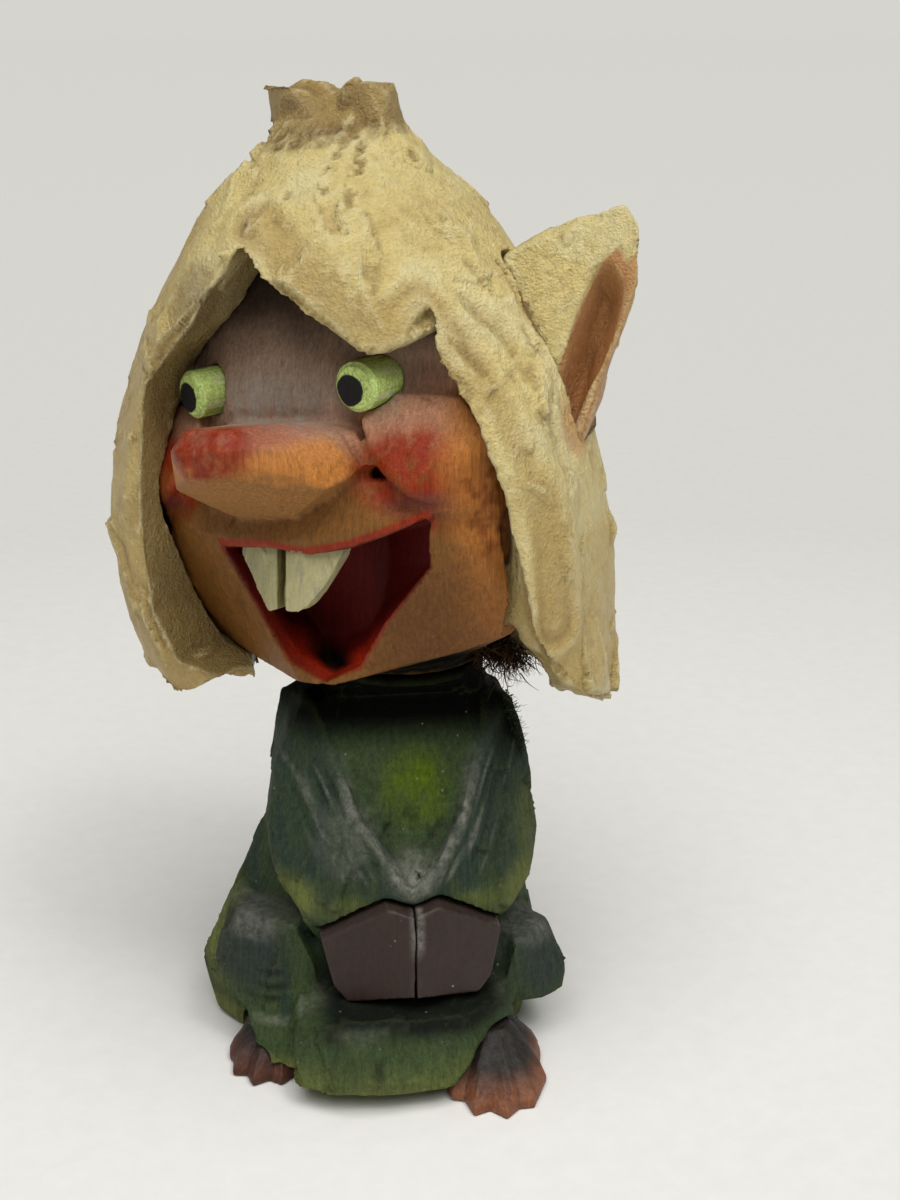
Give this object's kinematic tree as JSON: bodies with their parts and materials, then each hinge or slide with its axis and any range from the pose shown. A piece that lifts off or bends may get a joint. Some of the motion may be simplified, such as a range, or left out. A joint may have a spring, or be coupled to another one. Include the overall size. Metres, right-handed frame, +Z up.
{
  "type": "carved elf figurine",
  "caption": "Carved and painted wooden elf figurine: a squat gowned body with a large laughing long-haired head that turns on a hidden neck dowel.",
  "frame": {"origin": "on the sawn base, where the neck joint's axis meets it", "axes": "+Z up along the neck joint, -Y the way the body faces, +X to the figure's own left"},
  "size_m": [0.0669, 0.064, 0.1296],
  "materials": {
    "gown": "matt green and blue-green paint over vertical grain, dry-brushed lime at the neckline",
    "hand": "satin plum-brown paint",
    "foot": "satin red-brown paint",
    "dowel": "bare wood",
    "face": "satin tan stain with red, purple and orange washes",
    "hair": "thick stippled cream paint",
    "ear": "cream paint with an orange-brown hollow",
    "eye": "mottled lime-green paint",
    "tooth": "ivory paint with grey grain"
  },
  "bodies": {
    "torso": {"body": "gown", "hand_left": "hand", "hand_right": "hand", "foot_left": "foot", "foot_right": "foot", "neck_dowel": "dowel"},
    "head": {"face": "face", "hair": "hair", "ear_left": "ear", "ear_right": "ear", "eye_peg_left": "eye", "eye_peg_right": "eye", "tooth_left": "tooth", "tooth_right": "tooth"}
  },
  "joints": [
    {"name": "head_turn", "type": "hinge", "parent": "torso", "child": "head", "pos_m": [0, 0, 0.052], "axis": [0, 0, 1], "continuous": true}
  ]
}
